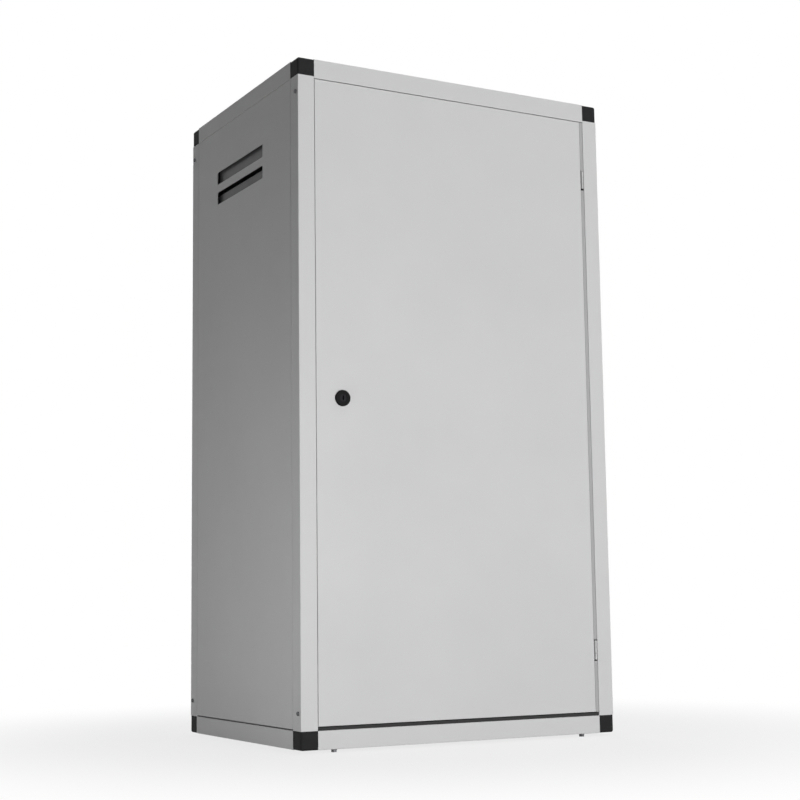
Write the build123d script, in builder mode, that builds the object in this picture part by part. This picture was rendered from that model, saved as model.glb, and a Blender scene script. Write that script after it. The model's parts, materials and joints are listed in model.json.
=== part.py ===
"""Boiler cover cabinet: a tube frame with nylon corner joints, sheet panels and a flush hinged door.

Millimetres, +Z up, the front towards -Y. The origin is on the floor under the middle of the cabinet.
"""

import os
from itertools import product

from build123d import *

# Overall size of the frame
frame_width = 505.0
frame_depth = 395.0
frame_height = 945.0

# Square steel tube of the frame
tube_size = 25.0
tube_wall = 1.5
tube_edge_radius = 0.8

# Fin of the top front rail, which hangs down to the door and narrows the gap above it
fin_thickness = 1.5
fin_height = 2.4

# Nylon corner joints: a cube with three grooved spigots
cube_corner_radius = 3.2
cube_edge_radius = 0.6
spigot_length = 38.0
spigot_play = 0.2
spigot_tip_chamfer = 1.5
spigot_groove_width = 4.5
spigot_groove_depth = 1.6

# Screws that fix the spigots in the tubes: low heads on the uprights, tall hexagon heads under the frame
joint_screw_diameter = 3.9
joint_screw_length = 13.0
joint_screw_edge = 8.0
upright_screw_head_diameter = 5.8
upright_screw_head_height = 2.0
upright_screw_head_rounding = 1.0
upright_screw_end = 48.0
bottom_screw_across_flats = 7.0
bottom_screw_hex_height = 3.2
bottom_screw_washer_diameter = 8.6
bottom_screw_washer_height = 1.0
bottom_screw_end = 52.0

# Folded sheet panels of the sides, back, roof and floor
sheet = 1.0
fold_radius = 0.8
fold_relief = 2.0
panel_flange = 16.0
panel_gap = 0.3
side_panel_drop = 1.6

# Small pan-head screws of the panels, brackets and strips
panel_screw_head_diameter = 5.6
panel_screw_head_height = 2.1
panel_screw_head_rounding = 0.9
panel_screw_diameter = 2.9
panel_screw_length = 9.0
screw_recess_length = 3.0
screw_recess_width = 0.7
screw_recess_depth = 0.9
long_edge_screw_shares = (-0.3, 0, 0.3)
short_edge_screw_shares = (-0.3, 0.3)
screw_play = 0.1

# Ventilation slots of the side panels, and the rain baffles behind them
slot_length = 170.0
slot_height = 19.2
slot_corner_radius = 2.5
slot_pitch = 31.5
upper_slot_from_top = 92.8
slot_from_front = 121.0
baffle_sheet = 1.0
baffle_stand = 4.2
baffle_offset = 1.2
baffle_overlap = 24.0
upper_baffle_riser = 26.2
lower_baffle_riser = 17.4

# Way in for the pipes through the floor panel
pipe_opening_width = 280.0
pipe_opening_depth = 120.0
pipe_opening_radius = 12.0
pipe_opening_to_back = 60.0

# Door: a folded sheet tray with lips, flush with the frame's front
door_lock_gap = 0.55
door_hinge_gap = 5.9
door_top_gap = 0.8
door_bottom_gap = 5.4
door_depth = 15.0
door_lip = 9.0
stiffener_width = 60.0
stiffener_crown = 30.0
stiffener_depth = 9.0
stiffener_end_gap = 4.0

# Butt hinges in the gap at the door's right edge
hinge_from_end = 119.0
hinge_height = 27.0
hinge_sheet = 1.2
hinge_frame_leaf_width = 17.0
hinge_leaf_corner_radius = 1.5
hinge_axis_behind_front = 1.0
knuckle_side_play = 0.35
knuckle_end_play = 0.3
knuckle_back_play = 0.4
pin_diameter = 2.4
pin_running_play = 0.05
pin_press_play = 0.02
pin_head_diameter = 3.8
pin_head_height = 0.8
hinge_screw_pitch = 15.0
hinge_screw_diameter = 3.0
hinge_screw_head_diameter = 5.2
hinge_screw_length = 8.0
hinge_nut_across_flats = 5.5
hinge_nut_height = 2.4

# Cam lock of the door
lock_from_side = 65.0
lock_from_base = 470.0
lock_head_diameter = 22.5
lock_head_height = 3.2
lock_head_rounding = 1.4
lock_body_diameter = 18.0
lock_body_flats = 16.0
lock_body_play = 0.2
lock_nut_across_flats = 22.0
lock_nut_height = 3.5
plug_diameter = 11.0
plug_play = 0.08
plug_recess = 0.6
key_slot_length = 7.0
key_slot_width = 1.6
key_slot_depth = 6.0
cam_sheet = 2.0
cam_width = 14.0
cam_reach = 46.0
cam_behind_frame = 0.8
cam_end_play = 0.3
cam_square = 7.0
cam_square_play = 0.1
cam_screw_head_diameter = 10.0
cam_screw_head_height = 2.4
cam_screw_head_rounding = 0.8
cam_screw_diameter = 4.0
cam_screw_length = 9.0

# Stop strip behind the door's free edge, with its rubber seal
stop_sheet = 1.0
stop_leg = 14.0
stop_fixing_leg = 7.0
stop_end_gap = 12.0
stop_screw_shares = (-0.42, -0.14, 0.14, 0.42)
seal_thickness = 2.2
seal_width = 9.0
seal_play = 0.3
seal_edge_gap = 1.6
seal_rounding = 0.7

# Rubber sill seal on the bottom front rail, which fills most of the gap under the door
sill_seal_to_door = 1.0
sill_seal_behind_front = 1.6
sill_seal_depth = 10.0
sill_seal_end_gap = 0.3

# Folded strips that close the gap at the door's hinges, above, between and below them
gap_strip_sheet = 1.2
gap_strip_to_door = 0.8
gap_strip_behind_front = 1.2
gap_strip_fixing_leg = 12.0
gap_strip_to_hinge = 2.0
gap_strip_end_gap = 0.5
gap_strip_screw_from_hinge = 40.0

# Wall brackets in the back corners
bracket_sheet = 2.0
bracket_wall_leg = 30.0
bracket_fixing_leg = 15.0
bracket_height = 40.0
bracket_from_end = 120.0
bracket_bend_radius = 3.0
bracket_screw_pitch = 24.0
wall_hole_diameter = 8.5
wall_hole_from_corner = 18.0

# Overrun of every cut past the face that it starts or ends at
overrun = 1.0

# Faces of the frame, centred front to back with the lock's proud head counted in
right = frame_width / 2
left = -right
front = (lock_head_height - frame_depth) / 2
back = front + frame_depth
middle = (front + back) / 2
base = bottom_screw_washer_height + bottom_screw_hex_height
top = base + frame_height
half_height = (base + top) / 2
half_tube = tube_size / 2

# Inner faces of the frame's tubes
inner_right = right - tube_size
inner_left = -inner_right
inner_front = front + tube_size
inner_base = base + tube_size
inner_top = top - tube_size

FRONTWARD = (0, -1, 0)
BACKWARD = (0, 1, 0)
RIGHTWARD = (1, 0, 0)
LEFTWARD = (-1, 0, 0)
UPWARD = (0, 0, 1)
DOWNWARD = (0, 0, -1)

os.makedirs("parts", exist_ok=True)


def keep(finished, name):
    """Label a finished piece and write it under its own name."""
    finished.part.label = name
    export_step(finished.part, f"parts/{name}.step")


def seat(x, y, z, out):
    """Plane on a surface at a point, its normal pointing out of the surface."""
    return Plane(origin=(x, y, z), z_dir=out)


def drill(seats, diameter, depth):
    """Cut round holes into the open part, from just above their seats to one depth."""
    with Locations(*[hole.offset(overrun) for hole in seats]):
        Cylinder(
            radius=diameter / 2,
            height=overrun + depth,
            align=(Align.CENTER, Align.CENTER, Align.MAX),
            mode=Mode.SUBTRACT,
        )


def copies(screw, seats):
    """Separate copies of one fastener, each on its own seat."""
    with BuildPart() as group:
        with Locations(*seats):
            add(screw.part)
    return group


# Seats of the joint screws: on the uprights' side faces, and under the bottom width rails
joint_screw_row = frame_depth / 2 - joint_screw_edge
upright_joint_seats = [
    seat(
        side * right,
        middle + row * joint_screw_row,
        half_height + end * (frame_height / 2 - upright_screw_end),
        (side, 0, 0),
    )
    for side, row, end in product((-1, 1), repeat=3)
]
bottom_joint_seats = {
    (row, side): seat(side * (right - bottom_screw_end), middle + row * joint_screw_row, base, DOWNWARD)
    for row, side in product((-1, 1), repeat=2)
}
joint_seats = upright_joint_seats + list(bottom_joint_seats.values())

# Outer faces and sizes of the panels. The side panels end above the bottom rails and leave a slit there
side_panel_height = inner_top - inner_base - panel_gap - side_panel_drop
side_panel_middle = inner_base + side_panel_drop + side_panel_height / 2
across_width = 2 * (inner_right - panel_gap)
across_depth = frame_depth - 2 * (tube_size + panel_gap)
across_height = inner_top - inner_base - 2 * panel_gap
panels = {
    "left_panel": (
        Plane(origin=(left, middle, side_panel_middle), x_dir=FRONTWARD, z_dir=LEFTWARD),
        across_depth,
        side_panel_height,
    ),
    "right_panel": (
        Plane(origin=(right, middle, side_panel_middle), x_dir=BACKWARD, z_dir=RIGHTWARD),
        across_depth,
        side_panel_height,
    ),
    "back_panel": (
        Plane(origin=(0, back, half_height), x_dir=LEFTWARD, z_dir=BACKWARD),
        across_width,
        across_height,
    ),
    "roof_panel": (
        Plane(origin=(0, middle, top), x_dir=RIGHTWARD, z_dir=UPWARD),
        across_width,
        across_depth,
    ),
    "floor_panel": (
        Plane(origin=(0, middle, base), x_dir=LEFTWARD, z_dir=DOWNWARD),
        across_width,
        across_depth,
    ),
}


def flange_seats(name):
    """Screw seats on the inner sides of a panel's flanges. The side panels' lower flanges hang free."""
    face, size_x, size_y = panels[name]
    sides = [(1, 0), (-1, 0), (0, 1), (0, -1)]
    if name in ("left_panel", "right_panel"):
        sides.remove((0, -1))
    seats = []
    for side_x, side_y in sides:
        across, along = (size_x, size_y) if side_x else (size_y, size_x)
        shares = long_edge_screw_shares if along > across else short_edge_screw_shares
        inset = across / 2 - sheet
        for share in shares:
            run = share * along
            point = Vector(
                side_x * inset + abs(side_y) * run,
                side_y * inset + abs(side_x) * run,
                -panel_flange / 2,
            )
            inward = -side_x * face.x_dir - side_y * face.y_dir
            seats.append(Plane(origin=face.from_local_coords(point), z_dir=inward))
    return seats


panel_seats = {name: flange_seats(name) for name in panels}

# Hinges: the axis stands in the middle of the gap at the door's right edge
door_left = inner_left + door_lock_gap
door_right = inner_right - door_hinge_gap
door_bottom = inner_base + door_bottom_gap
door_top = inner_top - fin_height - door_top_gap
door_back = front + door_depth
hinge_x = (door_right + inner_right) / 2
hinge_y = front + hinge_axis_behind_front
knuckle_radius = door_hinge_gap / 2 - knuckle_side_play
hinge_heights = {"lower": base + hinge_from_end, "upper": top - hinge_from_end}
leaf_start = hinge_y + knuckle_radius + knuckle_back_play
frame_leaf_end = leaf_start + hinge_frame_leaf_width
frame_leaf_face = inner_right - hinge_sheet
door_leaf_face = door_right + hinge_sheet
frame_leaf_middle = (leaf_start + frame_leaf_end) / 2
door_leaf_middle = (leaf_start + door_back) / 2
hinge_frame_seats = {
    name: [
        seat(frame_leaf_face, frame_leaf_middle, height + end * hinge_screw_pitch / 2, LEFTWARD)
        for end in (-1, 1)
    ]
    for name, height in hinge_heights.items()
}
hinge_door_seats = {
    name: [
        seat(door_leaf_face, door_leaf_middle, height + end * hinge_screw_pitch / 2, RIGHTWARD)
        for end in (-1, 1)
    ]
    for name, height in hinge_heights.items()
}

# Stop strip: its stop leg stands behind the door's lip, its fixing leg lies on the upright
stop_front = door_back + seal_play + seal_thickness
stop_length = inner_top - inner_base - 2 * stop_end_gap
stop_seats = [
    seat(
        inner_left + stop_sheet,
        stop_front + (stop_sheet + stop_fixing_leg) / 2,
        half_height + share * stop_length,
        RIGHTWARD,
    )
    for share in stop_screw_shares
]

# Gap strips: each has a closing leg in the gap and a fixing leg on the upright, with a screw near each hinge
gap_strip_front = front + gap_strip_behind_front
gap_strip_ends = [door_bottom, inner_top - fin_height - gap_strip_end_gap] + [
    height + end * (hinge_height / 2 + gap_strip_to_hinge)
    for height, end in product(hinge_heights.values(), (-1, 1))
]
gap_strip_ends.sort()
gap_strip_seats = [
    seat(
        inner_right - gap_strip_sheet,
        gap_strip_front + (gap_strip_sheet + gap_strip_fixing_leg) / 2,
        height + end * gap_strip_screw_from_hinge,
        LEFTWARD,
    )
    for height, end in product(hinge_heights.values(), (-1, 1))
]

# Wall brackets: each lies in a corner of the back panel's tray
bracket_corner_x = inner_right - panel_gap - sheet
bracket_corner_y = back - sheet
bracket_heights = {"lower": base + bracket_from_end, "upper": top - bracket_from_end}
wall_hole_x = bracket_corner_x - wall_hole_from_corner
bracket_seats = [
    seat(
        side * (bracket_corner_x - bracket_sheet),
        back - panel_flange / 2,
        height + end * bracket_screw_pitch / 2,
        (-side, 0, 0),
    )
    for side, height, end in product((-1, 1), bracket_heights.values(), (-1, 1))
]
wall_hole_seats = [
    seat(side * wall_hole_x, bracket_corner_y - bracket_sheet, height, FRONTWARD)
    for side, height in product((-1, 1), bracket_heights.values())
]

# Everything that is screwed into a tube's wall, with the diameter that its hole needs
all_panel_seats = [hole for seats in panel_seats.values() for hole in seats]
small_seats = all_panel_seats + stop_seats + gap_strip_seats + bracket_seats
frame_hinge_seats = [hole for seats in hinge_frame_seats.values() for hole in seats]
wall_holes = [
    (joint_seats, joint_screw_diameter + screw_play),
    (small_seats, panel_screw_diameter + screw_play),
    (frame_hinge_seats, hinge_screw_diameter + screw_play),
]
thickest_clamped = bracket_sheet + sheet + panel_gap


# Frame tubes
def frame_tube(centre, direction, length):
    """Square tube along one axis, drilled wherever a screw enters one of its walls."""
    start = Plane(origin=Vector(*centre) - Vector(*direction) * length / 2, z_dir=direction)
    with BuildPart() as tube:
        with BuildSketch(start):
            RectangleRounded(tube_size, tube_size, tube_edge_radius)
            Rectangle(tube_size - 2 * tube_wall, tube_size - 2 * tube_wall, mode=Mode.SUBTRACT)
        extrude(amount=length)
        box = tube.part.bounding_box()
        reach = Vector(thickest_clamped, thickest_clamped, thickest_clamped)
        low = box.min - reach
        high = box.max + reach
        for seats, diameter in wall_holes:
            met = [
                hole
                for hole in seats
                if low.X <= hole.origin.X <= high.X
                and low.Y <= hole.origin.Y <= high.Y
                and low.Z <= hole.origin.Z <= high.Z
            ]
            if met:
                drill(met, diameter, thickest_clamped + tube_wall + overrun)
    return tube


row_names = {-1: "front", 1: "rear"}
side_names = {-1: "left", 1: "right"}
end_names = {-1: "bottom", 1: "top"}
axis_x = right - half_tube
axis_y = frame_depth / 2 - half_tube
axis_z = frame_height / 2 - half_tube

tubes = {}
for row, side in product((-1, 1), repeat=2):
    tubes[f"upright_{row_names[row]}_{side_names[side]}"] = frame_tube(
        (side * axis_x, middle + row * axis_y, half_height), UPWARD, frame_height - 2 * tube_size
    )
for end, row in product((-1, 1), repeat=2):
    tubes[f"{end_names[end]}_rail_{row_names[row]}"] = frame_tube(
        (0, middle + row * axis_y, half_height + end * axis_z), RIGHTWARD, frame_width - 2 * tube_size
    )
for end, side in product((-1, 1), repeat=2):
    tubes[f"{end_names[end]}_rail_{side_names[side]}"] = frame_tube(
        (side * axis_x, middle, half_height + end * axis_z), BACKWARD, frame_depth - 2 * tube_size
    )

# The fin starts inside the rail's lower wall, so the two are one piece
with BuildPart() as finned_rail:
    add(tubes["top_rail_front"].part)
    with Locations((0, front + fin_thickness / 2, inner_top + (tube_wall - fin_height) / 2)):
        Box(inner_right - inner_left, fin_thickness, tube_wall + fin_height)
tubes["top_rail_front"] = finned_rail

for name, tube in tubes.items():
    keep(tube, name)


# Corner joints
spigot_size = tube_size - 2 * (tube_wall + spigot_play)
with BuildPart() as spigot:
    with BuildSketch(Plane.XY):
        Rectangle(spigot_size, spigot_size)
        with PolarLocations(spigot_size / 2, 4):
            Rectangle(2 * spigot_groove_depth, spigot_groove_width, mode=Mode.SUBTRACT)
    extrude(amount=spigot_length)
    tip = spigot.faces().sort_by(Axis.Z)[-1]
    tip_corners = tip.edges().filter_by(lambda edge: edge.length > spigot_groove_width + spigot_groove_depth)
    chamfer(tip_corners, length=spigot_tip_chamfer)


def corner_joint(side, row, end):
    """Nylon cube at one corner of the frame, with a grooved spigot into each of its three tubes."""
    centre = Vector(side * axis_x, middle + row * axis_y, half_height + end * axis_z)
    outer_corner = centre + Vector(side, row, end) * half_tube
    inward = [Vector(-side, 0, 0), Vector(0, -row, 0), Vector(0, 0, -end)]
    with BuildPart() as joint:
        with Locations(centre):
            Box(tube_size, tube_size, tube_size)
        fillet(joint.edges().sort_by_distance(outer_corner)[0:3], radius=cube_corner_radius)
        tube_faces = joint.faces().sort_by_distance(outer_corner)[-3:]
        fillet(tube_faces.edges(), radius=cube_edge_radius)
        roots = [Plane(origin=centre + direction * half_tube, z_dir=direction) for direction in inward]
        with Locations(*roots):
            add(spigot.part)
        box = joint.part.bounding_box()
        low = box.min - Vector(tube_wall, tube_wall, tube_wall)
        high = box.max + Vector(tube_wall, tube_wall, tube_wall)
        met = [
            hole
            for hole in joint_seats
            if low.X <= hole.origin.X <= high.X
            and low.Y <= hole.origin.Y <= high.Y
            and low.Z <= hole.origin.Z <= high.Z
        ]
        drill(met, joint_screw_diameter + screw_play, joint_screw_length + screw_play)
    return joint


for end, row, side in product((-1, 1), repeat=3):
    keep(
        corner_joint(side, row, end),
        f"corner_joint_{end_names[end]}_{row_names[row]}_{side_names[side]}",
    )


# Screws, each modelled once with its seat at Z = 0, its head above and its shank below
with BuildPart() as bottom_screw:
    with BuildSketch(Plane.XY.offset(-joint_screw_length)):
        Circle(joint_screw_diameter / 2)
    extrude(amount=joint_screw_length)
    with BuildSketch(Plane.XY):
        Circle(bottom_screw_washer_diameter / 2)
    extrude(amount=bottom_screw_washer_height)
    with BuildSketch(Plane.XY.offset(bottom_screw_washer_height)):
        RegularPolygon(bottom_screw_across_flats / 2, 6, major_radius=False)
    extrude(amount=bottom_screw_hex_height)

with BuildPart() as upright_screw:
    with BuildSketch(Plane.XY.offset(-joint_screw_length)):
        Circle(joint_screw_diameter / 2)
    extrude(amount=joint_screw_length)
    with BuildSketch(Plane.XY):
        Circle(upright_screw_head_diameter / 2)
    extrude(amount=upright_screw_head_height)
    head_face = upright_screw.faces().sort_by(Axis.Z)[-1]
    fillet(head_face.edges(), radius=upright_screw_head_rounding)
    with BuildSketch(Plane.XY.offset(upright_screw_head_height)):
        Rectangle(screw_recess_length, screw_recess_width)
        Rectangle(screw_recess_width, screw_recess_length)
    extrude(amount=-screw_recess_depth, mode=Mode.SUBTRACT)

with BuildPart() as panel_screw:
    with BuildSketch(Plane.XY.offset(-panel_screw_length)):
        Circle(panel_screw_diameter / 2)
    extrude(amount=panel_screw_length)
    with BuildSketch(Plane.XY):
        Circle(panel_screw_head_diameter / 2)
    extrude(amount=panel_screw_head_height)
    head_face = panel_screw.faces().sort_by(Axis.Z)[-1]
    fillet(head_face.edges(), radius=panel_screw_head_rounding)
    with BuildSketch(Plane.XY.offset(panel_screw_head_height)):
        Rectangle(screw_recess_length, screw_recess_width)
        Rectangle(screw_recess_width, screw_recess_length)
    extrude(amount=-screw_recess_depth, mode=Mode.SUBTRACT)

hinge_screw_cone = (hinge_screw_head_diameter - hinge_screw_diameter) / 2
with BuildPart() as hinge_screw:
    with BuildSketch(Plane.XZ):
        with BuildLine():
            Polyline(
                (0, 0),
                (hinge_screw_head_diameter / 2, 0),
                (hinge_screw_diameter / 2, -hinge_screw_cone),
                (hinge_screw_diameter / 2, -hinge_screw_length),
                (0, -hinge_screw_length),
                close=True,
            )
        make_face()
    revolve(axis=Axis.Z)

# The four bottom screws carry the cabinet on a floor, so each is a piece of its own
for (row, side), hole in bottom_joint_seats.items():
    keep(copies(bottom_screw, [hole]), f"bottom_screw_{row_names[row]}_{side_names[side]}")
keep(copies(upright_screw, upright_joint_seats), "upright_joint_screws")
keep(copies(panel_screw, all_panel_seats), "panel_screws")


# Panels
def folded_tray(face, size_x, size_y, depth):
    """Sheet with a flange folded back along each edge, and open corners between the flanges."""
    with BuildPart() as tray:
        with BuildSketch(face):
            Rectangle(size_x, size_y)
        extrude(amount=-depth)
        outer_face = tray.faces().sort_by(Axis(face.origin, face.z_dir))[-1]
        fillet(outer_face.edges(), radius=fold_radius)
        with BuildSketch(face.offset(-sheet)):
            Rectangle(size_x - 2 * sheet, size_y - 2 * sheet)
        extrude(amount=-depth, mode=Mode.SUBTRACT)
        with BuildSketch(face.offset(-fold_radius)):
            with GridLocations(size_x, size_y, 2, 2):
                Rectangle(2 * fold_relief, 2 * fold_relief)
        extrude(amount=-depth, mode=Mode.SUBTRACT)
    return tray


slot_middle = front + slot_from_front + slot_length / 2
slot_heights = [top - upper_slot_from_top - slot_height / 2 - row * slot_pitch for row in (0, 1)]
for side, name in ((-1, "left_panel"), (1, "right_panel")):
    tray = folded_tray(*panels[name], panel_flange)
    with BuildPart() as side_panel:
        add(tray.part)
        drill(panel_seats[name], panel_screw_diameter + screw_play, sheet + panel_gap)
        for height in slot_heights:
            slot_plane = Plane(origin=(side * right, slot_middle, height), x_dir=BACKWARD, z_dir=(side, 0, 0))
            with BuildSketch(slot_plane):
                RectangleRounded(slot_length, slot_height, slot_corner_radius)
            extrude(amount=-sheet - overrun, mode=Mode.SUBTRACT)
    keep(side_panel, name)

back_tray = folded_tray(*panels["back_panel"], panel_flange)
with BuildPart() as back_panel:
    add(back_tray.part)
    drill(panel_seats["back_panel"], panel_screw_diameter + screw_play, sheet + panel_gap)
    drill(bracket_seats, panel_screw_diameter + screw_play, bracket_sheet + sheet + panel_gap)
    drill(wall_hole_seats, wall_hole_diameter, bracket_sheet + sheet + overrun)
keep(back_panel, "back_panel")

roof_tray = folded_tray(*panels["roof_panel"], panel_flange)
with BuildPart() as roof_panel:
    add(roof_tray.part)
    drill(panel_seats["roof_panel"], panel_screw_diameter + screw_play, sheet + panel_gap)
keep(roof_panel, "roof_panel")

pipe_opening_y = back - pipe_opening_to_back - pipe_opening_depth / 2
floor_tray = folded_tray(*panels["floor_panel"], panel_flange)
with BuildPart() as floor_panel:
    add(floor_tray.part)
    drill(panel_seats["floor_panel"], panel_screw_diameter + screw_play, sheet + panel_gap)
    with BuildSketch(Plane(origin=(0, pipe_opening_y, base), z_dir=DOWNWARD)):
        RectangleRounded(pipe_opening_width, pipe_opening_depth, pipe_opening_radius)
    extrude(amount=-sheet - overrun, mode=Mode.SUBTRACT)
keep(floor_panel, "floor_panel")


# Rain baffles behind the slots: a flange on the panel, a ledge and a riser
baffle_flange = slot_pitch - slot_height - 2 * baffle_offset
baffle_length = slot_length + 2 * baffle_overlap
for side, side_name in side_names.items():
    with BuildPart() as baffles:
        for height, riser in zip(slot_heights, (upper_baffle_riser, lower_baffle_riser)):
            ledge_top = height - slot_height / 2 - baffle_offset
            panel_inside = side * (right - sheet)
            profile_plane = Plane(
                origin=(panel_inside, slot_middle - baffle_length / 2, ledge_top),
                x_dir=(-side, 0, 0),
                z_dir=(0, side, 0),
            )
            with BuildSketch(profile_plane):
                with BuildLine():
                    Polyline(
                        (0, -baffle_flange),
                        (0, 0),
                        (baffle_stand, 0),
                        (baffle_stand, riser - baffle_sheet),
                        (baffle_stand + baffle_sheet, riser - baffle_sheet),
                        (baffle_stand + baffle_sheet, -baffle_sheet),
                        (baffle_sheet, -baffle_sheet),
                        (baffle_sheet, -baffle_flange),
                        close=True,
                    )
                make_face()
            extrude(amount=side * baffle_length)
    keep(baffles, f"{side_name}_vent_baffles")


# Door
door_plane = Plane(
    origin=((door_left + door_right) / 2, front, (door_bottom + door_top) / 2),
    x_dir=RIGHTWARD,
    z_dir=FRONTWARD,
)
door_width = door_right - door_left
door_height = door_top - door_bottom
lock_x = left + lock_from_side
lock_z = base + lock_from_base
all_hinge_door_seats = [hole for seats in hinge_door_seats.values() for hole in seats]


def lock_section(diameter, flats):
    """Round section with two flats, drawn into the open sketch."""
    Circle(diameter / 2)
    Rectangle(diameter, flats, mode=Mode.INTERSECT)


with BuildPart() as door_panel:
    with BuildSketch(door_plane):
        Rectangle(door_width, door_height)
    extrude(amount=-door_depth)
    door_face = door_panel.faces().sort_by(Axis.Y)[0]
    fillet(door_face.edges(), radius=fold_radius)
    with BuildSketch(door_plane.offset(-sheet)):
        Rectangle(door_width - 2 * sheet, door_height - 2 * sheet)
    extrude(amount=-door_depth + 2 * sheet, mode=Mode.SUBTRACT)
    with BuildSketch(door_plane.offset(sheet - door_depth)):
        Rectangle(door_width - 2 * door_lip, door_height - 2 * door_lip)
    extrude(amount=-sheet, mode=Mode.SUBTRACT)
    with BuildSketch(Plane(origin=(lock_x, front, lock_z), x_dir=RIGHTWARD, z_dir=FRONTWARD)):
        lock_section(lock_body_diameter + lock_body_play, lock_body_flats + lock_body_play)
    extrude(amount=-sheet, mode=Mode.SUBTRACT)
    drill(all_hinge_door_seats, hinge_screw_diameter + screw_play, hinge_sheet + sheet + overrun)
keep(door_panel, "door_panel")

with BuildPart() as door_stiffener:
    stiffener_length = door_height - 2 * (sheet + stiffener_end_gap)
    stiffener_plane = Plane(
        origin=((door_left + door_right) / 2, front + sheet, (door_bottom + door_top - stiffener_length) / 2),
        x_dir=RIGHTWARD,
        z_dir=UPWARD,
    )
    with BuildSketch(stiffener_plane):
        with Locations((0, sheet / 2)):
            Rectangle(stiffener_width, sheet)
        with Locations((0, stiffener_depth / 2)):
            Rectangle(stiffener_crown, stiffener_depth)
        with Locations((0, (stiffener_depth - sheet) / 2)):
            Rectangle(stiffener_crown - 2 * sheet, stiffener_depth - sheet, mode=Mode.SUBTRACT)
    extrude(amount=stiffener_length)
keep(door_stiffener, "door_stiffener")


# Hinges
def hinge_leaf(height, wall_face, inner_face, leaf_end, knuckled, bore, seats):
    """Leaf of a butt hinge: a plate with rolled knuckles in some thirds of its height."""
    third = hinge_height / 3
    with BuildPart() as leaf:
        for number in range(3):
            start = height - hinge_height / 2 + number * third
            with BuildSketch(Plane.XY.offset(start)):
                with Locations(((wall_face + inner_face) / 2, (leaf_start + leaf_end) / 2)):
                    Rectangle(hinge_sheet, leaf_end - leaf_start)
            extrude(amount=third)
            if number not in knuckled:
                continue
            low_play = knuckle_end_play / 2 if number > 0 else 0
            high_play = knuckle_end_play / 2 if number < 2 else 0
            with BuildSketch(Plane.XY.offset(start + low_play)):
                with Locations((hinge_x, hinge_y)):
                    Circle(knuckle_radius)
                with Locations(((wall_face + inner_face) / 2, (hinge_y + leaf_start) / 2)):
                    Rectangle(hinge_sheet, leaf_start - hinge_y)
                with Locations((hinge_x, hinge_y)):
                    Circle(bore / 2, mode=Mode.SUBTRACT)
            extrude(amount=third - low_play - high_play)
        back_corners = leaf.edges().filter_by(Axis.X).group_by(Axis.Y)[-1]
        fillet(back_corners, radius=hinge_leaf_corner_radius)
        with Locations(*seats):
            CounterSinkHole(
                radius=(hinge_screw_diameter + screw_play) / 2,
                counter_sink_radius=(hinge_screw_head_diameter + screw_play) / 2,
                depth=hinge_sheet + overrun,
                counter_sink_angle=90,
            )
    return leaf


for name, height in hinge_heights.items():
    frame_leaf = hinge_leaf(
        height,
        inner_right,
        frame_leaf_face,
        frame_leaf_end,
        (0, 2),
        pin_diameter + 2 * pin_press_play,
        hinge_frame_seats[name],
    )
    keep(frame_leaf, f"{name}_hinge_frame_leaf")
    door_leaf = hinge_leaf(
        height,
        door_right,
        door_leaf_face,
        door_back,
        (1,),
        pin_diameter + 2 * pin_running_play,
        hinge_door_seats[name],
    )
    keep(door_leaf, f"{name}_hinge_door_leaf")
    with BuildPart() as hinge_pin:
        with BuildSketch(Plane(origin=(hinge_x, hinge_y, height - hinge_height / 2), z_dir=UPWARD)):
            Circle(pin_diameter / 2)
        extrude(amount=hinge_height)
        with BuildSketch(Plane(origin=(hinge_x, hinge_y, height + hinge_height / 2), z_dir=UPWARD)):
            Circle(pin_head_diameter / 2)
        extrude(amount=pin_head_height)
    keep(hinge_pin, f"{name}_hinge_pin")

keep(copies(hinge_screw, frame_hinge_seats), "hinge_frame_screws")
keep(copies(hinge_screw, all_hinge_door_seats), "hinge_door_screws")

with BuildPart() as hinge_nut:
    with BuildSketch(Plane.XY.offset(-hinge_sheet - sheet)):
        RegularPolygon(hinge_nut_across_flats / 2, 6, major_radius=False)
        Circle((hinge_screw_diameter + screw_play) / 2, mode=Mode.SUBTRACT)
    extrude(amount=-hinge_nut_height)
keep(copies(hinge_nut, all_hinge_door_seats), "hinge_door_nuts")


# Cam lock. Its axis runs front to back, and the cam rests pointing down, which is unlocked
cam_front = inner_front + cam_behind_frame
lock_face = front - lock_head_height


def lock_plane(y):
    """Plane across the lock's axis, seen from the back."""
    return Plane(origin=(lock_x, y, lock_z), x_dir=LEFTWARD, z_dir=BACKWARD)


with BuildPart() as lock_housing:
    with BuildSketch(lock_plane(lock_face)):
        Circle(lock_head_diameter / 2)
    extrude(amount=lock_head_height)
    head_edge = lock_housing.faces().sort_by(Axis.Y)[0].edges()
    fillet(head_edge, radius=lock_head_rounding)
    with BuildSketch(lock_plane(front)):
        lock_section(lock_body_diameter, lock_body_flats)
    extrude(amount=cam_front - cam_end_play - front)
    with BuildSketch(lock_plane(lock_face)):
        Circle(plug_diameter / 2 + plug_play)
    extrude(amount=cam_front - lock_face, mode=Mode.SUBTRACT)
keep(lock_housing, "lock_housing")

with BuildPart() as lock_nut:
    with BuildSketch(lock_plane(front + sheet)):
        RegularPolygon(lock_nut_across_flats / 2, 6, major_radius=False)
        Circle((lock_body_diameter + lock_body_play) / 2, mode=Mode.SUBTRACT)
    extrude(amount=lock_nut_height)
keep(lock_nut, "lock_nut")

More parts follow.
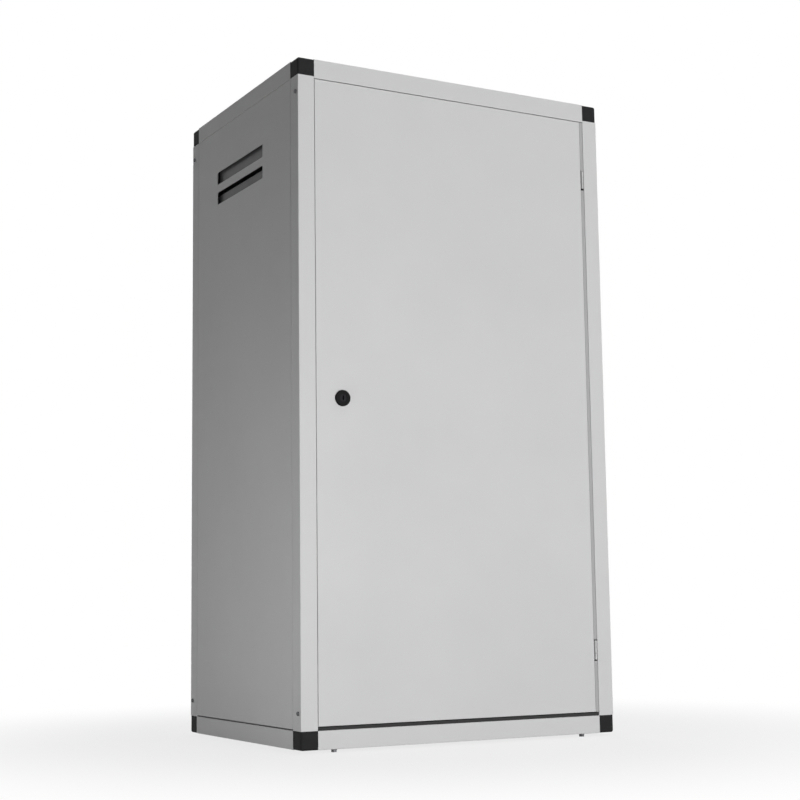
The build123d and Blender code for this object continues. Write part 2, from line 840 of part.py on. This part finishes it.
with BuildPart() as lock_plug:
    with BuildSketch(lock_plane(lock_face + plug_recess)):
        Circle(plug_diameter / 2)
    extrude(amount=cam_front - lock_face - plug_recess)
    with BuildSketch(lock_plane(cam_front)):
        Rectangle(cam_square, cam_square)
    extrude(amount=cam_sheet)
    with BuildSketch(lock_plane(lock_face + plug_recess)):
        Rectangle(key_slot_width, key_slot_length)
    extrude(amount=key_slot_depth, mode=Mode.SUBTRACT)
    with BuildSketch(lock_plane(cam_front + cam_sheet)):
        Circle((cam_screw_diameter + screw_play) / 2)
    extrude(amount=-cam_screw_length - screw_play, mode=Mode.SUBTRACT)
keep(lock_plug, "lock_plug")

with BuildPart() as lock_cam:
    with BuildSketch(lock_plane(cam_front)):
        with Locations((0, -(cam_reach - cam_width / 2) / 2)):
            SlotOverall(cam_reach + cam_width / 2, cam_width, rotation=90)
        Circle(cam_screw_head_diameter / 2 + cam_sheet)
        Rectangle(cam_square + cam_square_play, cam_square + cam_square_play, mode=Mode.SUBTRACT)
    extrude(amount=cam_sheet)
keep(lock_cam, "lock_cam")

with BuildPart() as cam_screw:
    with BuildSketch(lock_plane(cam_front + cam_sheet)):
        Circle(cam_screw_head_diameter / 2)
    extrude(amount=cam_screw_head_height)
    fillet(cam_screw.faces().sort_by(Axis.Y)[-1].edges(), radius=cam_screw_head_rounding)
    with BuildSketch(lock_plane(cam_front + cam_sheet)):
        Circle(cam_screw_diameter / 2)
    extrude(amount=-cam_screw_length)
keep(cam_screw, "cam_screw")


# Door stop strip and seal
with BuildPart() as stop_strip:
    with BuildSketch(Plane(origin=(inner_left, stop_front, half_height - stop_length / 2), z_dir=UPWARD)):
        with BuildLine():
            Polyline(
                (0, 0),
                (stop_leg, 0),
                (stop_leg, stop_sheet),
                (stop_sheet, stop_sheet),
                (stop_sheet, stop_fixing_leg),
                (0, stop_fixing_leg),
                close=True,
            )
        make_face()
    extrude(amount=stop_length)
    drill(stop_seats, panel_screw_diameter + screw_play, stop_sheet + overrun)
keep(stop_strip, "door_stop_strip")
keep(copies(panel_screw, stop_seats + gap_strip_seats), "strip_screws")

with BuildPart() as door_seal:
    seal_middle = (inner_left + seal_edge_gap + seal_width / 2, stop_front - seal_thickness / 2)
    with BuildSketch(Plane(origin=(*seal_middle, half_height - stop_length / 2), z_dir=UPWARD)):
        Rectangle(seal_width, seal_thickness)
    extrude(amount=stop_length)
    fillet(door_seal.edges().filter_by(Axis.Z).group_by(Axis.Y)[0], radius=seal_rounding)
keep(door_seal, "door_seal")

# Sill seal, stuck on the bottom front rail under the door
with BuildPart() as sill_seal:
    sill_seal_height = door_bottom_gap - sill_seal_to_door
    sill_seal_middle = front + sill_seal_behind_front + sill_seal_depth / 2
    with Locations((0, sill_seal_middle, inner_base + sill_seal_height / 2)):
        Box(inner_right - inner_left - 2 * sill_seal_end_gap, sill_seal_depth, sill_seal_height)
    top_edges = sill_seal.faces().sort_by(Axis.Z)[-1].edges()
    fillet(top_edges.filter_by(Axis.X), radius=seal_rounding)
keep(sill_seal, "sill_seal")


# Gap strips at the door's hinges
with BuildPart() as gap_strips:
    for low, high in zip(gap_strip_ends[0::2], gap_strip_ends[1::2]):
        with BuildSketch(Plane(origin=(inner_right, gap_strip_front, low), z_dir=UPWARD)):
            closing_leg = door_hinge_gap - gap_strip_to_door
            with BuildLine():
                Polyline(
                    (0, 0),
                    (-closing_leg, 0),
                    (-closing_leg, gap_strip_sheet),
                    (-gap_strip_sheet, gap_strip_sheet),
                    (-gap_strip_sheet, gap_strip_fixing_leg),
                    (0, gap_strip_fixing_leg),
                    close=True,
                )
            make_face()
        extrude(amount=high - low)
    drill(gap_strip_seats, panel_screw_diameter + screw_play, gap_strip_sheet + overrun)
keep(gap_strips, "hinge_side_gap_strips")


# Wall brackets
for (side, side_name), (end_name, height) in product(side_names.items(), bracket_heights.items()):
    corner = Plane(
        origin=(side * bracket_corner_x, bracket_corner_y, height - bracket_height / 2),
        x_dir=(-side, 0, 0),
        z_dir=(0, 0, side),
    )
    with BuildPart() as bracket:
        with BuildSketch(corner):
            with BuildLine():
                Polyline(
                    (0, 0),
                    (bracket_wall_leg, 0),
                    (bracket_wall_leg, bracket_sheet),
                    (bracket_sheet, bracket_sheet),
                    (bracket_sheet, bracket_fixing_leg),
                    (0, bracket_fixing_leg),
                    close=True,
                )
            make_face()
        extrude(amount=side * bracket_height)
        outer_bend = bracket.edges().filter_by(Axis.Z).sort_by_distance(corner.origin)[0]
        fillet(outer_bend, radius=bracket_bend_radius)
        near = [
            hole
            for hole in bracket_seats
            if abs(hole.origin.X - side * bracket_corner_x) < bracket_wall_leg
            and abs(hole.origin.Z - height) < bracket_height
        ]
        drill(near, panel_screw_diameter + screw_play, bracket_sheet + overrun)
        wall_hole = seat(side * wall_hole_x, bracket_corner_y - bracket_sheet, height, FRONTWARD)
        drill([wall_hole], wall_hole_diameter, bracket_sheet + overrun)
    keep(bracket, f"{end_name}_wall_bracket_{side_name}")

keep(copies(panel_screw, bracket_seats), "wall_bracket_screws")
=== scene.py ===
"""Boiler cover cabinet: finishes, floor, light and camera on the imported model."""

import json
import math

import bpy
from mathutils import Matrix, Vector

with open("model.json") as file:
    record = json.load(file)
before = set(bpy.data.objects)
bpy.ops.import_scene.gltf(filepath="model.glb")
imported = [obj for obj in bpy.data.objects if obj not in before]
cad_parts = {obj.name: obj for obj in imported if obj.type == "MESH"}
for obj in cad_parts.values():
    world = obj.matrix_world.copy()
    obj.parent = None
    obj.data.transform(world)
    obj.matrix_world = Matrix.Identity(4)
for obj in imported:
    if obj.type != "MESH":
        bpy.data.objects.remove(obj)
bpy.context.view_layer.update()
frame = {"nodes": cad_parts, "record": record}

scene = bpy.context.scene
scene.view_settings.view_transform = "Standard"

# A millimetre in the scene's metres
mm = 0.001


def srgb(code):
    """Linear colour from an sRGB hex value."""
    values = [int(code[i : i + 2], 16) / 255 for i in (1, 3, 5)]
    return tuple(v / 12.92 if v <= 0.04045 else ((v + 0.055) / 1.055) ** 2.4 for v in values) + (1.0,)


def add_node(tree, kind, settings=None, inputs=None):
    """New node with its settings, and with values or links on its inputs."""
    node = tree.nodes.new(kind)
    for key, value in (settings or {}).items():
        setattr(node, key, value)
    for socket, value in (inputs or {}).items():
        if isinstance(value, bpy.types.NodeSocket):
            tree.links.new(value, node.inputs[socket])
        else:
            node.inputs[socket].default_value = value
    return node


def new_finish(name):
    """Empty material with its node tree, its Principled shader and the place on the piece."""
    material = bpy.data.materials.new(name)
    material.use_nodes = True
    tree = material.node_tree
    shader = tree.nodes["Principled BSDF"]
    place = add_node(tree, "ShaderNodeTexCoord").outputs["Object"]
    return material, tree, shader, place


def powder_coat(name, colour, dusty_colour):
    """Polyester powder coat, sprayed and baked on steel: satin, opaque, with a fine orange peel.

    Broad cloudy patches move the colour by under two grey levels, the gloss wanders over small patches,
    and the sheet behind the coat is pulled slightly out of flat by its folds.
    """
    cloud_size, gloss_patch_size = 200 * mm, 16 * mm
    peel_cell_size, peel_height = 1.1 * mm, 0.08 * mm
    sheet_wave_size, sheet_wave_height = 220 * mm, 1.2 * mm

    material, tree, shader, place = new_finish(name)
    clouds = add_node(
        tree,
        "ShaderNodeTexNoise",
        inputs={"Vector": place, "Scale": 1 / cloud_size, "Detail": 3.0, "Roughness": 0.55},
    )
    tint = add_node(
        tree,
        "ShaderNodeMix",
        {"data_type": "RGBA"},
        {"Factor": clouds.outputs["Fac"], "A": srgb(colour), "B": srgb(dusty_colour)},
    )
    tree.links.new(tint.outputs["Result"], shader.inputs["Base Color"])
    gloss = add_node(
        tree,
        "ShaderNodeTexNoise",
        inputs={"Vector": place, "Scale": 1 / gloss_patch_size, "Detail": 4.0, "Roughness": 0.6},
    )
    rough = add_node(
        tree,
        "ShaderNodeMapRange",
        inputs={
            "Value": gloss.outputs["Fac"],
            "From Min": 0.3,
            "From Max": 0.7,
            "To Min": 0.38,
            "To Max": 0.46,
        },
    )
    tree.links.new(rough.outputs["Result"], shader.inputs["Roughness"])
    peel = add_node(
        tree,
        "ShaderNodeTexNoise",
        inputs={"Vector": place, "Scale": 1 / peel_cell_size, "Detail": 1.0, "Roughness": 0.4},
    )
    flatness = add_node(
        tree,
        "ShaderNodeTexNoise",
        inputs={"Vector": place, "Scale": 1 / sheet_wave_size, "Detail": 1.0, "Roughness": 0.4},
    )
    sheet_bump = add_node(
        tree,
        "ShaderNodeBump",
        inputs={"Height": flatness.outputs["Fac"], "Strength": 1.0, "Distance": sheet_wave_height},
    )
    peel_bump = add_node(
        tree,
        "ShaderNodeBump",
        inputs={
            "Height": peel.outputs["Fac"],
            "Normal": sheet_bump.outputs["Normal"],
            "Strength": 0.35,
            "Distance": peel_height,
        },
    )
    tree.links.new(peel_bump.outputs["Normal"], shader.inputs["Normal"])
    shader.inputs["IOR"].default_value = 1.45
    shader.inputs["Specular IOR Level"].default_value = 0.25
    return material


def black_nylon(name, colour, dry_colour):
    """Black glass-filled nylon, moulded in a spark-eroded tool: near black with a fine dry grain.

    The grain is drawn a little coarser than the real one, which is too fine to show.
    """
    grain_size, grain_depth, patch_size = 0.6 * mm, 0.06 * mm, 11 * mm

    material, tree, shader, place = new_finish(name)
    grain = add_node(
        tree,
        "ShaderNodeTexNoise",
        inputs={"Vector": place, "Scale": 1 / grain_size, "Detail": 2.0, "Roughness": 0.6},
    )
    patches = add_node(
        tree,
        "ShaderNodeTexNoise",
        inputs={"Vector": place, "Scale": 1 / patch_size, "Detail": 2.0, "Roughness": 0.5},
    )
    tint = add_node(
        tree,
        "ShaderNodeMix",
        {"data_type": "RGBA"},
        {"Factor": patches.outputs["Fac"], "A": srgb(colour), "B": srgb(dry_colour)},
    )
    tree.links.new(tint.outputs["Result"], shader.inputs["Base Color"])
    bump = add_node(
        tree,
        "ShaderNodeBump",
        inputs={"Height": grain.outputs["Fac"], "Strength": 0.4, "Distance": grain_depth},
    )
    tree.links.new(bump.outputs["Normal"], shader.inputs["Normal"])
    shader.inputs["Roughness"].default_value = 0.6
    shader.inputs["IOR"].default_value = 1.5
    shader.inputs["Specular IOR Level"].default_value = 0.05
    return material


def plated_steel(name, colour, shade, roughness):
    """Zinc plate on steel, passivated clear, dark or black: soft metallic sheen, uneven from the bath."""
    bath_mark_size, roughness_spread = 4.5 * mm, 0.08

    material, tree, shader, place = new_finish(name)
    bath = add_node(
        tree,
        "ShaderNodeTexNoise",
        inputs={"Vector": place, "Scale": 1 / bath_mark_size, "Detail": 4.0, "Roughness": 0.6},
    )
    tint = add_node(
        tree,
        "ShaderNodeMix",
        {"data_type": "RGBA"},
        {"Factor": bath.outputs["Fac"], "A": srgb(colour), "B": srgb(shade)},
    )
    tree.links.new(tint.outputs["Result"], shader.inputs["Base Color"])
    rough = add_node(
        tree,
        "ShaderNodeMapRange",
        inputs={
            "Value": bath.outputs["Fac"],
            "To Min": roughness - roughness_spread,
            "To Max": roughness + roughness_spread,
        },
    )
    tree.links.new(rough.outputs["Result"], shader.inputs["Roughness"])
    shader.inputs["Metallic"].default_value = 1.0
    return material


def galvanised_sheet():
    """Hot-dip galvanised steel sheet: dull grey metal with a faint spangle of crystals."""
    crystal_size = 8 * mm

    material, tree, shader, place = new_finish("galvanised_steel_sheet")
    spangle = add_node(
        tree,
        "ShaderNodeTexVoronoi",
        {"feature": "F1"},
        {"Vector": place, "Scale": 1 / crystal_size, "Randomness": 1.0},
    )
    crystal = add_node(tree, "ShaderNodeRGBToBW", inputs={"Color": spangle.outputs["Color"]})
    tint = add_node(
        tree,
        "ShaderNodeMix",
        {"data_type": "RGBA"},
        {"Factor": crystal.outputs["Val"], "A": srgb("#6d6e70"), "B": srgb("#7d7f81")},
    )
    tree.links.new(tint.outputs["Result"], shader.inputs["Base Color"])
    rough = add_node(
        tree, "ShaderNodeMapRange", inputs={"Value": crystal.outputs["Val"], "To Min": 0.42, "To Max": 0.6}
    )
    tree.links.new(rough.outputs["Result"], shader.inputs["Roughness"])
    shader.inputs["Metallic"].default_value = 0.6
    return material


def sponge_rubber():
    """Black sponge rubber: matt, with fine closed cells and slightly greyer patches. On the sill under the
    door its black is also painted shade for the gap there.
    """
    cell_size, cell_depth, patch_size = 0.55 * mm, 0.2 * mm, 16 * mm

    material, tree, shader, place = new_finish("black_sponge_rubber_and_gap_shade")
    cells = add_node(
        tree, "ShaderNodeTexVoronoi", {"feature": "F1"}, {"Vector": place, "Scale": 1 / cell_size}
    )
    bump = add_node(
        tree,
        "ShaderNodeBump",
        inputs={"Height": cells.outputs["Distance"], "Strength": 0.6, "Distance": cell_depth},
    )
    tree.links.new(bump.outputs["Normal"], shader.inputs["Normal"])
    patches = add_node(
        tree, "ShaderNodeTexNoise", inputs={"Vector": place, "Scale": 1 / patch_size, "Detail": 3.0}
    )
    tint = add_node(
        tree,
        "ShaderNodeMix",
        {"data_type": "RGBA"},
        {"Factor": patches.outputs["Fac"], "A": srgb("#1d1d1d"), "B": srgb("#2a2a2a")},
    )
    tree.links.new(tint.outputs["Result"], shader.inputs["Base Color"])
    shader.inputs["Roughness"].default_value = 0.85
    return material


# Each node of the model takes the finish of its material slot
finishes = {
    "frame_lacquer": powder_coat("pale_grey_powder_coat_on_tube", "#cccccc", "#c8c8c9"),
    "panel_lacquer": powder_coat("pale_grey_powder_coat_on_sheet", "#cfcfcf", "#c5c5c6"),
    # The gap strips' mid grey is painted shade: it stands in for the shade in the gaps beside the door.
    "strip_lacquer": powder_coat("mid_grey_painted_shade_on_gap_strips", "#a9a9a9", "#a5a5a6"),
    "black_nylon": black_nylon("black_moulded_nylon", "#242425", "#2a2a2b"),
    "lock_black": black_nylon("black_lock_nylon", "#171718", "#1e1e1f"),
    "plug_black": plated_steel("black_chromated_plug", "#1c1c1e", "#161618", 0.5),
    "dark_zinc": plated_steel("dark_zinc_plate", "#5c5c5e", "#4e4e50", 0.45),
    "zinc_plate": plated_steel("bright_zinc_plate", "#b9bcbc", "#a4a7a8", 0.32),
    "galvanised_sheet": galvanised_sheet(),
    # The baffles' dark grey is painted shade: it stands in for the shade in the recess behind the vent
    # slots.
    "baffle_lacquer": powder_coat("dark_grey_painted_shade_on_baffles", "#565657", "#525253"),
    "hinge_steel": plated_steel("dull_zinc_plate", "#8c8c8c", "#808080", 0.5),
    # The seal rubber is the real door seal's own black, and on the sill under the door it is painted shade
    # for the bottom gap.
    "seal_rubber": sponge_rubber(),
}
for subpart in frame["record"]["subparts"]:
    piece = frame["nodes"][subpart["node"]]
    piece.data.materials.clear()
    piece.data.materials.append(finishes[subpart["material_slot"]])


def seen_or_mirrored(tree):
    """Output that is 1 for camera, transmission and glossy rays, and 0 for diffuse and shadow rays."""
    light_path = add_node(tree, "ShaderNodeLightPath")
    shown = add_node(
        tree,
        "ShaderNodeMath",
        {"operation": "MAXIMUM"},
        {0: light_path.outputs["Is Camera Ray"], 1: light_path.outputs["Is Transmission Ray"]},
    )
    shown_or_mirrored = add_node(
        tree,
        "ShaderNodeMath",
        {"operation": "MAXIMUM"},
        {0: shown.outputs[0], 1: light_path.outputs["Is Glossy Ray"]},
    )
    return shown_or_mirrored.outputs[0]


def studio_floor():
    """Pale board that turns white away from the cabinet and keeps a soft shadow near it."""
    floor_size = 60
    # Distances from the cabinet's middle in metres, and how white the floor is within the first
    whitening_starts, white_from, white_near_share = 0.35, 1.0, 0.78
    # Distances from the pipe entry's middle as shares of its half size
    entry_shade_share, entry_clear_share = 1.45, 1.7

    bpy.ops.object.select_all(action="DESELECT")
    bpy.ops.mesh.primitive_plane_add(size=floor_size, location=(0, 0, 0))
    floor = bpy.context.object
    floor.name = "studio_floor"
    floor_paint = bpy.data.materials.new("white_studio_floor")
    floor_paint.use_nodes = True
    tree = floor_paint.node_tree
    tree.nodes.clear()
    board = add_node(tree, "ShaderNodeBsdfDiffuse", inputs={"Color": srgb("#b8b8b8")})
    white = add_node(tree, "ShaderNodeEmission", inputs={"Color": (1, 1, 1, 1), "Strength": 1.0})
    place = add_node(tree, "ShaderNodeTexCoord").outputs["Object"]
    distance = add_node(tree, "ShaderNodeVectorMath", {"operation": "LENGTH"}, {0: place})
    whitening = add_node(
        tree,
        "ShaderNodeMapRange",
        {"interpolation_type": "SMOOTHSTEP"},
        {
            "Value": distance.outputs["Value"],
            "From Min": whitening_starts,
            "From Max": white_from,
            "To Min": white_near_share,
            "To Max": 1.0,
        },
    )

    # The floor that shows through the pipe entry lies in the cabinet's own shadow, so it isn't whitened
    openings = {opening["name"]: opening["box_m"] for opening in frame["record"]["physics"]["openings"]}
    entry_low, entry_high = (Vector(corner) for corner in openings["pipe_entry"])
    entry_middle = (entry_low + entry_high) / 2
    entry_half = (entry_high - entry_low) / 2
    from_entry = add_node(
        tree,
        "ShaderNodeVectorMath",
        {"operation": "MULTIPLY_ADD"},
        {
            0: place,
            1: (1 / entry_half.x, 1 / entry_half.y, 0),
            2: (-entry_middle.x / entry_half.x, -entry_middle.y / entry_half.y, 0),
        },
    )
    entry_distance = add_node(
        tree, "ShaderNodeVectorMath", {"operation": "LENGTH"}, {0: from_entry.outputs["Vector"]}
    )
    open_floor = add_node(
        tree,
        "ShaderNodeMapRange",
        {"interpolation_type": "SMOOTHSTEP"},
        {
            "Value": entry_distance.outputs["Value"],
            "From Min": entry_shade_share,
            "From Max": entry_clear_share,
        },
    )
    open_whitening = add_node(
        tree,
        "ShaderNodeMath",
        {"operation": "MULTIPLY"},
        {0: whitening.outputs["Result"], 1: open_floor.outputs["Result"]},
    )
    whitened = add_node(
        tree,
        "ShaderNodeMath",
        {"operation": "MULTIPLY"},
        {0: open_whitening.outputs[0], 1: seen_or_mirrored(tree)},
    )
    surface = add_node(
        tree,
        "ShaderNodeMixShader",
        inputs={"Fac": whitened.outputs[0], 1: board.outputs[0], 2: white.outputs[0]},
    )
    add_node(tree, "ShaderNodeOutputMaterial", inputs={"Surface": surface.outputs[0]})
    floor.data.materials.append(floor_paint)


def white_world():
    """White background that adds only a little light to that of the lamps."""
    light_strength = 0.03

    world = bpy.data.worlds.new("white_studio")
    scene.world = world
    world.use_nodes = True
    tree = world.node_tree
    tree.nodes.clear()
    strength = add_node(
        tree,
        "ShaderNodeMapRange",
        inputs={"Value": seen_or_mirrored(tree), "To Min": light_strength, "To Max": 1.0},
    )
    sky = add_node(
        tree,
        "ShaderNodeBackground",
        inputs={"Color": (1, 1, 1, 1), "Strength": strength.outputs["Result"]},
    )
    add_node(tree, "ShaderNodeOutputWorld", inputs={"Surface": sky.outputs[0]})


def soft_lamp(name, place, aim, size, power):
    """Square soft box that looks at a point, with its size in metres and its power in watts."""
    data = bpy.data.lights.new(name, "AREA")
    data.shape = "SQUARE"
    data.size = size
    data.energy = power
    lamp = bpy.data.objects.new(name, data)
    lamp.location = place
    lamp.rotation_euler = (Vector(aim) - Vector(place)).to_track_quat("-Z", "Y").to_euler()
    lamp.visible_camera = False
    scene.collection.objects.link(lamp)


def photograph_camera():
    """Camera as fitted to the six corners of the frame in the photograph."""
    # In the photograph's pixels, then the film's width in millimetres
    photo_width, focal_length = 800, 1568.4
    film_width = 36
    turn, tilt, roll = (math.radians(angle) for angle in (28.892, 7.443, -0.759))
    place = (-1.1462, -2.096, 0.1927)

    data = bpy.data.cameras.new("photograph_camera")
    data.sensor_width = film_width
    data.lens = focal_length / photo_width * film_width
    camera = bpy.data.objects.new("photograph_camera", data)
    camera.matrix_world = (
        Matrix.Translation(place)
        @ Matrix.Rotation(-turn, 4, "Z")
        @ Matrix.Rotation(math.pi / 2 + tilt, 4, "X")
        @ Matrix.Rotation(roll, 4, "Z")
    )
    scene.collection.objects.link(camera)
    scene.camera = camera


studio_floor()
white_world()
# Each lamp's place, the point that it looks at, its size and its power
soft_lamp("front_soft_box", (1.0, -5.6, 1.05), (0, 0, 0.4), 2.0, 203)
soft_lamp("rear_soft_box", (1.5, 5.4, 1.8), (0, 0, 0.45), 3.4, 215)
soft_lamp("right_soft_box", (5.2, 0.9, 1.1), (0, 0, 0.4), 2.0, 55)
soft_lamp("top_soft_box", (0.5, -0.4, 4.0), (0.2, -0.2, 0), 2.0, 45)
soft_lamp("left_low_fill", (-1.0, -0.35, 0.11), (0, 0, 0.04), 0.2, 1.85)
soft_lamp("front_low_fill", (0.3, -1.6, 0.2), (0, 0, 0.2), 0.35, 2.6)
photograph_camera()
